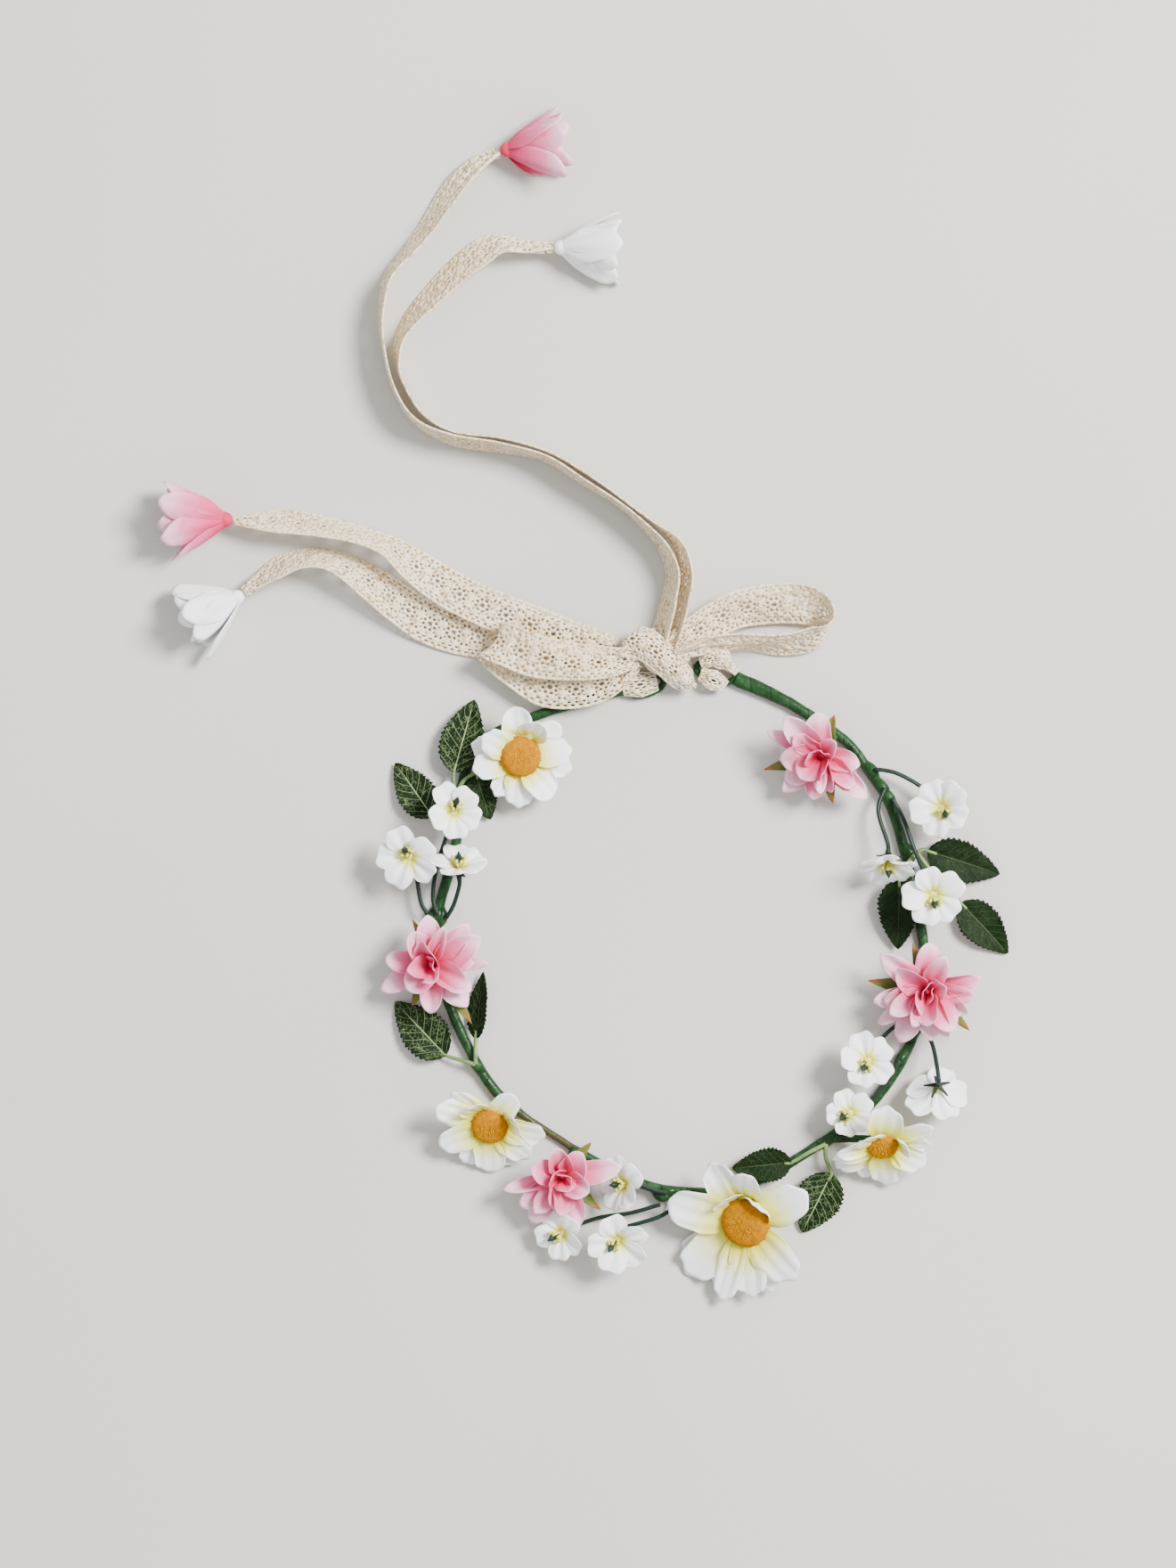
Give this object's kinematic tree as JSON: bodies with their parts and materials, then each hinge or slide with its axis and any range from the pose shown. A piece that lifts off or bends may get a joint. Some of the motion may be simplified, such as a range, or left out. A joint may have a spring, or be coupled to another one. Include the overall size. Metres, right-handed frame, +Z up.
{
  "type": "flower crown",
  "caption": "Open wire hoop bound in green floral tape with silk daisies, pink double flowers, small white blossoms and leaves, tied at the back by a lace ribbon bow.",
  "frame": {"origin": "middle of the crown's outline without its free tails, on the table it lies on", "axes": "+Z up out of the table, along the head; +Y towards the bow at the back of the head; +X to the wearer's right as the front flower faces -Y"},
  "size_m": [0.2959, 0.4175, 0.0289],
  "materials": {
    "wire": "drawn wire",
    "floral_tape": "creased crepe paper tape",
    "stem_plastic": "moulded, slightly glossy",
    "leaf": "printed and pressed cloth",
    "white_petal": "matt silk cloth",
    "pink_petal": "matt silk cloth, deeper towards the middle",
    "sepal": "pressed cloth, browned tips",
    "gold_disc": "flocked",
    "lace": "crocheted cotton lace"
  },
  "bodies": {
    "hoop": {"hoop_wire": "wire", "hoop_tape": "floral_tape", "daisy_right_petals": "white_petal", "daisy_right_disc": "gold_disc", "daisy_front_petals": "white_petal", "daisy_front_disc": "gold_disc", "daisy_left_front_petals": "white_petal", "daisy_left_front_disc": "gold_disc", "daisy_left_back_petals": "white_petal", "daisy_left_back_disc": "gold_disc", "pink_right_back_petals": "pink_petal", "pink_right_back_sepals": "sepal", "pink_right_petals": "pink_petal", "pink_right_sepals": "sepal", "pink_left_front_petals": "pink_petal", "pink_left_front_sepals": "sepal", "pink_left_petals": "pink_petal", "pink_left_sepals": "sepal", "blossom_right_front": "white_petal", "stem_right_front": "stem_plastic", "blossom_front_inner": "white_petal", "stem_front_inner": "stem_plastic", "leaf_sprig_right": "leaf", "leaf_sprig_front": "leaf", "leaf_sprig_left_front": "leaf", "leaf_sprig_left_back": "leaf", "ribbon_hitch_right": "lace", "ribbon_hitch_left": "lace", "bow_knot": "lace", "bow_loop_left": "lace", "bow_loop_right": "lace", "ribbon_tail_back_long": "lace", "ribbon_tail_back_short": "lace", "ribbon_tail_side_long": "lace", "ribbon_tail_side_short": "lace", "end_blossom_back_pink": "pink_petal", "end_blossom_back_white": "white_petal", "end_blossom_side_pink": "pink_petal", "end_blossom_side_white": "white_petal"},
    "flower_right_back_outer": {"blossom_right_back_outer": "white_petal", "stem_right_back_outer": "stem_plastic"},
    "flower_right_back_inner": {"blossom_right_back_inner": "white_petal", "stem_right_back_inner": "stem_plastic"},
    "flower_right_back_middle": {"blossom_right_back_middle": "white_petal", "stem_right_back_middle": "stem_plastic"},
    "flower_right_inner": {"blossom_right_inner": "white_petal", "stem_right_inner": "stem_plastic"},
    "flower_right_outer": {"blossom_right_outer": "white_petal", "stem_right_outer": "stem_plastic"},
    "flower_front_middle": {"blossom_front_middle": "white_petal", "stem_front_middle": "stem_plastic"},
    "flower_front_outer": {"blossom_front_outer": "white_petal", "stem_front_outer": "stem_plastic"},
    "spray_left": {"blossom_left_outer": "white_petal", "stem_left_outer": "stem_plastic", "blossom_left_back": "white_petal", "stem_left_back": "stem_plastic", "blossom_left_inner": "white_petal", "stem_left_inner": "stem_plastic"}
  },
  "joints": [
    {"name": "stem_right_back_outer_bend", "type": "hinge", "parent": "hoop", "child": "flower_right_back_outer", "pos_m": [0.0635, 0.061, 0.0057], "axis": [-0.5062, -0.8624, 0], "range_deg": [0, 30]},
    {"name": "stem_right_back_inner_bend", "type": "hinge", "parent": "hoop", "child": "flower_right_back_inner", "pos_m": [0.067, 0.0545, 0.0057], "axis": [-0.9998, -0.0208, 0], "range_deg": [0, 20]},
    {"name": "stem_right_back_middle_bend", "type": "hinge", "parent": "hoop", "child": "flower_right_back_middle", "pos_m": [0.0695, 0.051, 0.0057], "axis": [-0.9256, -0.3786, 0], "range_deg": [0, 18]},
    {"name": "stem_right_inner_bend", "type": "hinge", "parent": "hoop", "child": "flower_right_inner", "pos_m": [0.0755, -0.026, 0.0057], "axis": [-0.6823, 0.7311, 0], "range_deg": [0, 15]},
    {"name": "stem_right_outer_bend", "type": "hinge", "parent": "hoop", "child": "flower_right_outer", "pos_m": [0.079, -0.0285, 0.0057], "axis": [-0.9585, -0.285, 0], "range_deg": [0, 20]},
    {"name": "stem_front_middle_bend", "type": "hinge", "parent": "hoop", "child": "flower_front_middle", "pos_m": [-0.0055, -0.0905, 0.0057], "axis": [-0.4559, 0.89, 0], "range_deg": [0, 15]},
    {"name": "stem_front_outer_bend", "type": "hinge", "parent": "hoop", "child": "flower_front_outer", "pos_m": [-0.011, -0.09, 0.0057], "axis": [-0.3088, 0.9511, 0], "range_deg": [0, 25]},
    {"name": "spray_left_bend", "type": "hinge", "parent": "hoop", "child": "spray_left", "pos_m": [-0.0883, 0.0102, 0.0057], "axis": [1, 0, 0], "range_deg": [0, 18]}
  ]
}
